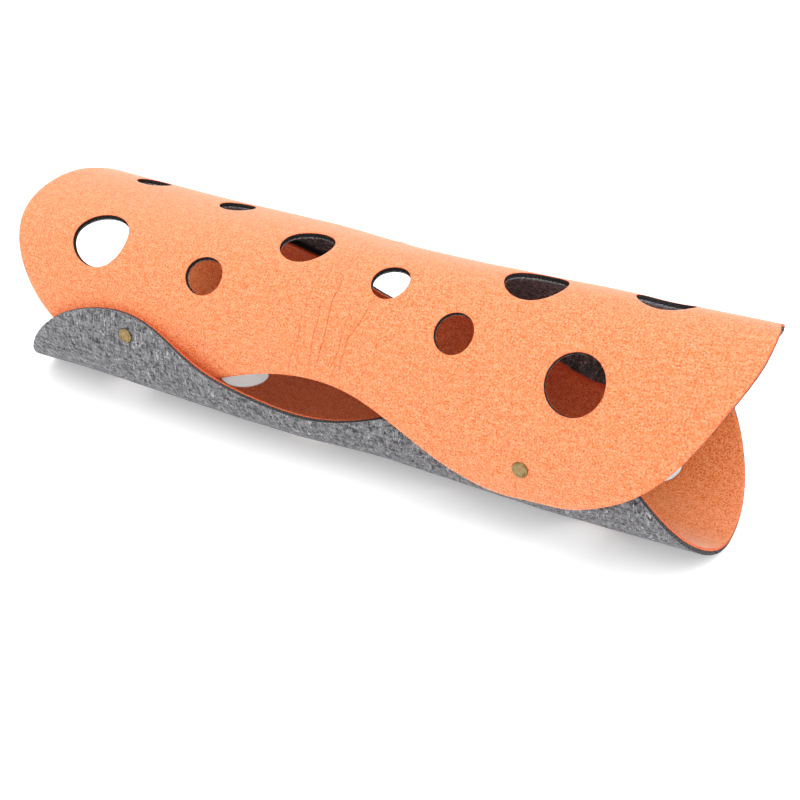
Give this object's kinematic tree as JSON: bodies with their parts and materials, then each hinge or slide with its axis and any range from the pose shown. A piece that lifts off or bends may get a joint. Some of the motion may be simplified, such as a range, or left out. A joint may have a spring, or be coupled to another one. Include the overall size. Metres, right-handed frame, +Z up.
{
  "type": "felt cat tunnel",
  "caption": "Cat tunnel of two waisted felt sheets, orange on one face and heathered grey on the other, one arched over the other, punched with round holes and closed with brass snaps.",
  "frame": {"origin": "middle of the bounding box, on the floor that the tunnel lies on", "axes": "+X along the tunnel, -Y the front with the orange lap low at the right, +Z up"},
  "size_m": [0.8815, 0.3174, 0.256],
  "materials": {
    "felt_orange_out": "matt pressed felt, orange on the outer face and heathered grey on the inner face",
    "felt_grey_out": "matt pressed felt, heathered grey on the outer face and orange on the inner face",
    "aged_brass": "aged, slightly speckled"
  },
  "bodies": {
    "root": {"felt_top": "felt_orange_out", "felt_bottom": "felt_grey_out", "snap_cap_front_right": "aged_brass", "snap_stud_front_right": "aged_brass", "snap_cap_front_left": "aged_brass", "snap_stud_front_left": "aged_brass", "snap_cap_back_right": "aged_brass", "snap_stud_back_right": "aged_brass", "snap_cap_back_left": "aged_brass", "snap_stud_back_left": "aged_brass"}
  },
  "joints": []
}
